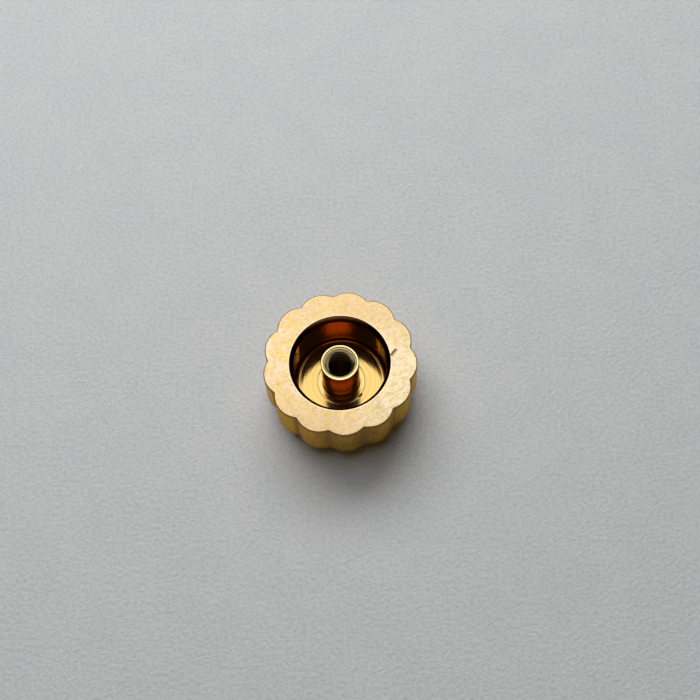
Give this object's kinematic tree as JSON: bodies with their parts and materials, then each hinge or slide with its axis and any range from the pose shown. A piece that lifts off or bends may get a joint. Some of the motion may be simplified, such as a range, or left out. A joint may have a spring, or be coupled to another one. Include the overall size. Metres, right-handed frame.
{
  "type": "watch crown",
  "caption": "Scalloped gold-tone watch crown with a round recess and a central tapped stem tube brazed to the recess floor.",
  "frame": {"origin": "centre of the crown's outer end, which it lies on", "axes": "+Z along the stem's axis, out of the open side; +X through the middle of one lobe"},
  "size_m": [0.0048, 0.0048, 0.0024],
  "materials": {
    "gold_plate": "gold-plated, satin rim and polished recess",
    "tube_brass": "turned, with fine rings on its end",
    "braze": "bright bead"
  },
  "bodies": {
    "root": {"crown_cap": "gold_plate", "stem_tube": "tube_brass", "braze_ring": "braze"}
  },
  "joints": []
}
